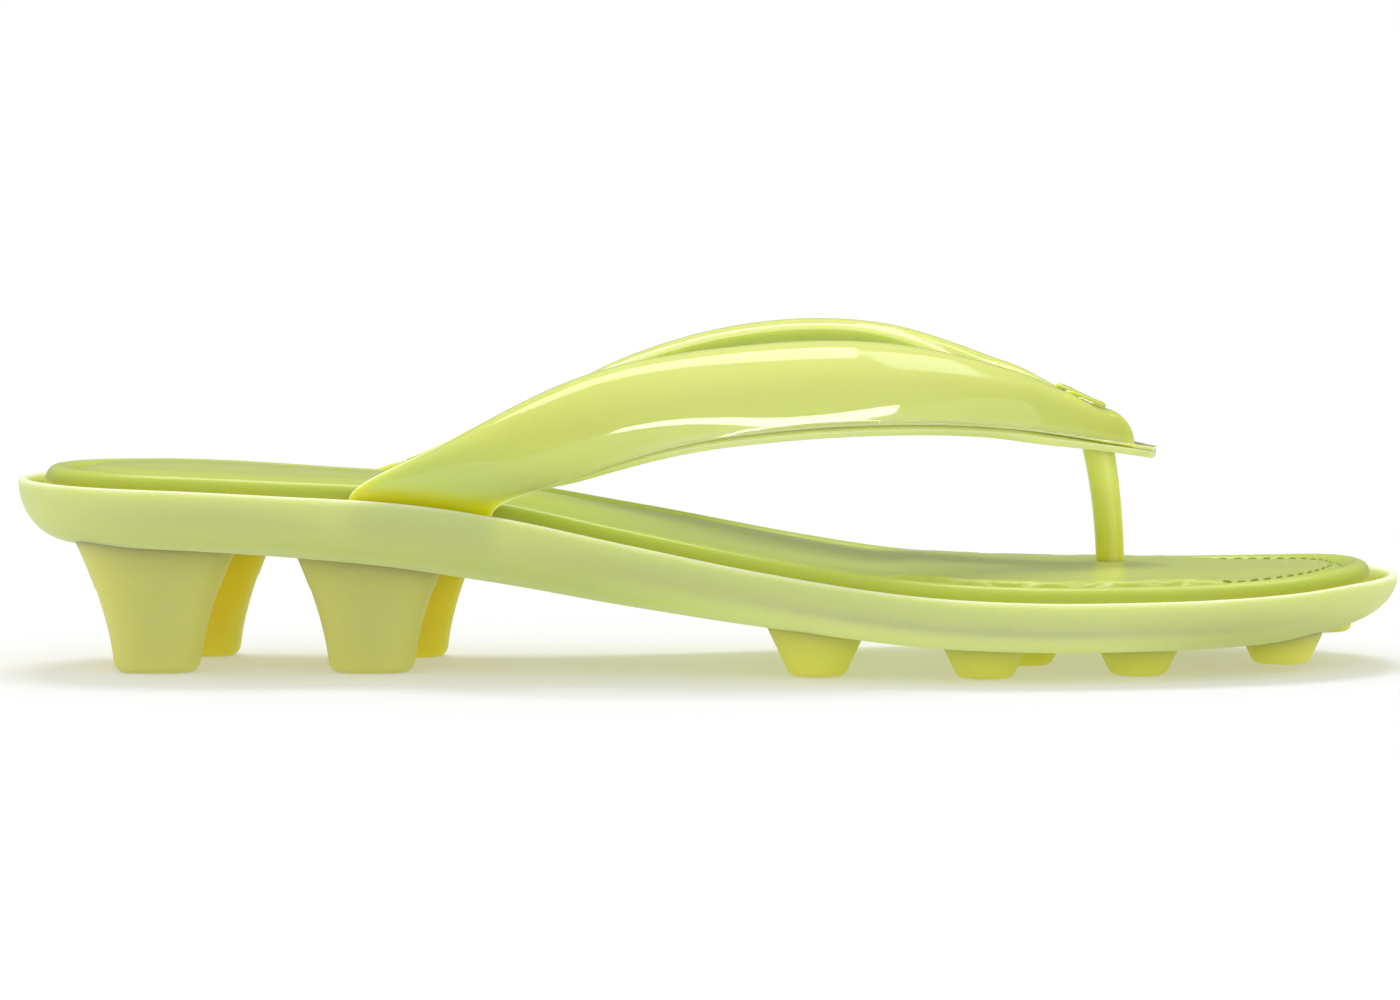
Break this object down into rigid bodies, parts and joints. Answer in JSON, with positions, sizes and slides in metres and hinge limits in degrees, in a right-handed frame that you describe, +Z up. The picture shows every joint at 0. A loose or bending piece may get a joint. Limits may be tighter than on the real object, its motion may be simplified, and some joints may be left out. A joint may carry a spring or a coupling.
{
  "type": "studded thong sandal",
  "caption": "Open thong sandal for the right foot: boat-shaped tray sole with tall heel studs and short forefoot studs, padded footbed, domed Y strap and toe post.",
  "frame": {"origin": "on the floor under the middle of the sandal's bounding box", "axes": "+X from the heel to the toe, +Y to the medial (big toe) side, +Z up from the floor"},
  "size_m": [0.261, 0.0884, 0.0647],
  "materials": {
    "frosted_pvc": "satin",
    "stud_pvc": "satin",
    "gloss_pvc": "gloss",
    "strap_liner": "satin",
    "emblem_pvc": "gloss",
    "toe_post_pvc": "satin",
    "anchor_pvc": "satin",
    "footbed_cover": "satin",
    "footbed_foam": "matte",
    "insole_board": "matte",
    "shank": "satin"
  },
  "bodies": {
    "rearfoot": {"outsole_rear": "frosted_pvc", "heel_stud_rear_lateral": "stud_pvc", "heel_stud_rear_medial": "stud_pvc", "heel_stud_front_lateral": "stud_pvc", "heel_stud_front_medial": "stud_pvc", "forefoot_stud_lateral_1": "stud_pvc", "forefoot_stud_medial_1": "stud_pvc", "insole_board": "insole_board", "shank": "shank", "footbed_foam": "footbed_foam", "footbed_cover": "footbed_cover", "strap_shell": "gloss_pvc", "strap_liner": "strap_liner", "strap_anchor_lateral": "anchor_pvc", "strap_anchor_medial": "anchor_pvc"},
    "forefoot": {"outsole_forefoot": "frosted_pvc", "forefoot_stud_lateral_2": "stud_pvc", "forefoot_stud_medial_2": "stud_pvc", "forefoot_stud_centre": "stud_pvc", "forefoot_stud_lateral_3": "stud_pvc", "forefoot_stud_medial_3": "stud_pvc", "forefoot_stud_lateral_4": "stud_pvc", "forefoot_stud_medial_4": "stud_pvc", "vamp_boss": "emblem_pvc", "toe_post": "toe_post_pvc", "toe_post_anchor": "anchor_pvc"}
  },
  "joints": [
    {"name": "forefoot_flex", "type": "hinge", "parent": "rearfoot", "child": "forefoot", "pos_m": [0.03563, 0, 0.0182], "axis": [0, -1, 0], "range_deg": [0, 30], "stiffness_Nm_per_rad": 3, "deforming": ["insole_board", "footbed_foam", "footbed_cover", "strap_shell", "strap_liner"]}
  ]
}
